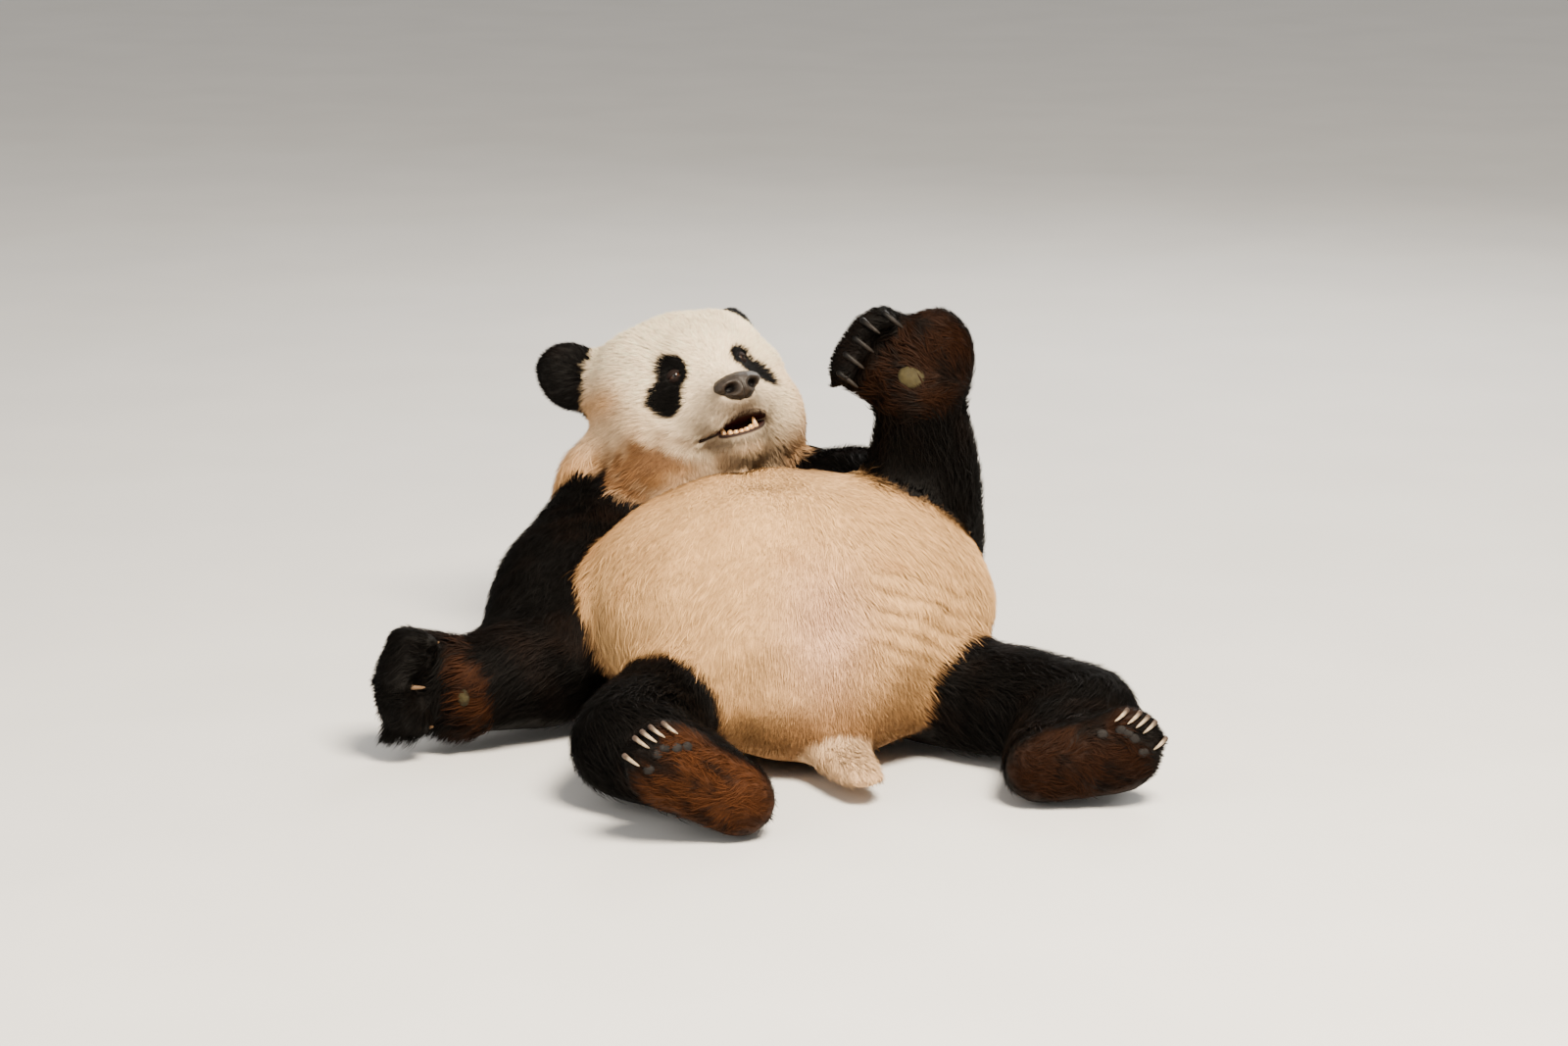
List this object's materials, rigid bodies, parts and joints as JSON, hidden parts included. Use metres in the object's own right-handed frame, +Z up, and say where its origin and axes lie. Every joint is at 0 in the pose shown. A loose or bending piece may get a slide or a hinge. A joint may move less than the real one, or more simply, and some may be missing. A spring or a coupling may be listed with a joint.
{
  "type": "giant panda, life-size still model",
  "caption": "Life-size giant panda lying back on the floor, one hand raised and gripping, the other resting as a fist, mouth open.",
  "frame": {"origin": "on the floor under the rump, at the flat that the panda rests on", "axes": "+Z up; -Y to the viewer that the soles face; +X to the viewer's right, the panda's left side"},
  "size_m": [1.1078, 1.1908, 0.6231],
  "materials": {
    "coat_white": "soft warm white fur",
    "coat_cream": "tan cream fur, thin over pink skin",
    "coat_black": "black fur with a faint brown sheen",
    "coat_brown": "reddish brown fur of palms and soles",
    "claw": "ivory horn, semi-gloss",
    "nose_pad": "moist dark grey skin",
    "eye": "wet dark brown"
  },
  "bodies": {
    "root": {"belly": "coat_cream", "chest": "coat_black", "head": "coat_white", "left_ear": "coat_black", "left_eye": "eye", "left_foot": "coat_brown", "left_foot_claw_1": "claw", "left_foot_claw_2": "claw", "left_foot_claw_3": "claw", "left_foot_claw_4": "claw", "left_foot_claw_5": "claw", "left_forearm": "coat_black", "left_hand": "coat_brown", "left_hand_claw_1": "claw", "left_hand_claw_2": "claw", "left_hand_claw_3": "claw", "left_hand_claw_4": "claw", "left_hand_claw_5": "claw", "left_shin": "coat_black", "left_thigh": "coat_black", "left_upper_arm": "coat_black", "neck": "coat_white", "nose": "nose_pad", "right_ear": "coat_black", "right_eye": "eye", "right_foot": "coat_brown", "right_foot_claw_1": "claw", "right_foot_claw_2": "claw", "right_foot_claw_3": "claw", "right_foot_claw_4": "claw", "right_foot_claw_5": "claw", "right_forearm": "coat_black", "right_hand": "coat_brown", "right_hand_claw_1": "claw", "right_hand_claw_2": "claw", "right_hand_claw_3": "claw", "right_hand_claw_4": "claw", "right_hand_claw_5": "claw", "right_shin": "coat_black", "right_thigh": "coat_black", "right_upper_arm": "coat_black", "tail": "coat_white"}
  },
  "joints": []
}
